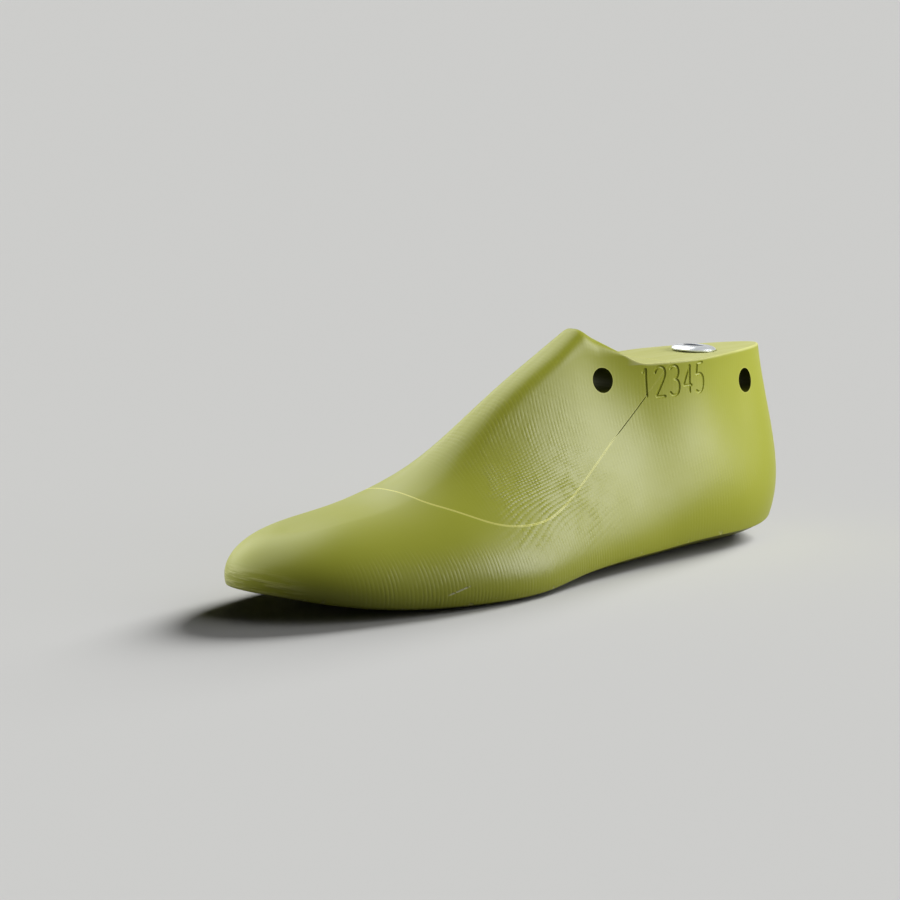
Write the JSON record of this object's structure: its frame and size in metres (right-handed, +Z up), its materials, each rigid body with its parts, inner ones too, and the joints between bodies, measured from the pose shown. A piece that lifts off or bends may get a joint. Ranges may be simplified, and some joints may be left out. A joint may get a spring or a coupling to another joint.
{
  "type": "shoe last",
  "caption": "Left shoe last of solid plastic with a round toe, a lift-off instep block on dowel pins, cross holes and a steel jack thimble in its top.",
  "frame": {"origin": "on the floor plane under the middle of the last's box", "axes": "-X towards the toe, +X towards the heel, -Y towards the lateral (outer) side, +Z up"},
  "size_m": [0.2818, 0.0872, 0.0937],
  "materials": {
    "green_polyethylene": "satin, faintly milled",
    "zinc_plated_steel": "bright turned",
    "spring_steel": "dull",
    "brass": "turned"
  },
  "bodies": {
    "last": {"last_body": "green_polyethylene", "jack_thimble": "zinc_plated_steel", "dowel_pin_lateral": "spring_steel", "dowel_pin_medial": "spring_steel"},
    "block": {"instep_block": "green_polyethylene", "pin_bush_lateral": "brass", "pin_bush_medial": "brass"}
  },
  "joints": [
    {"name": "block_lift", "type": "slide", "parent": "last", "child": "block", "axis": [0.6157, 0, 0.788], "range_m": [0, 0.07]}
  ]
}
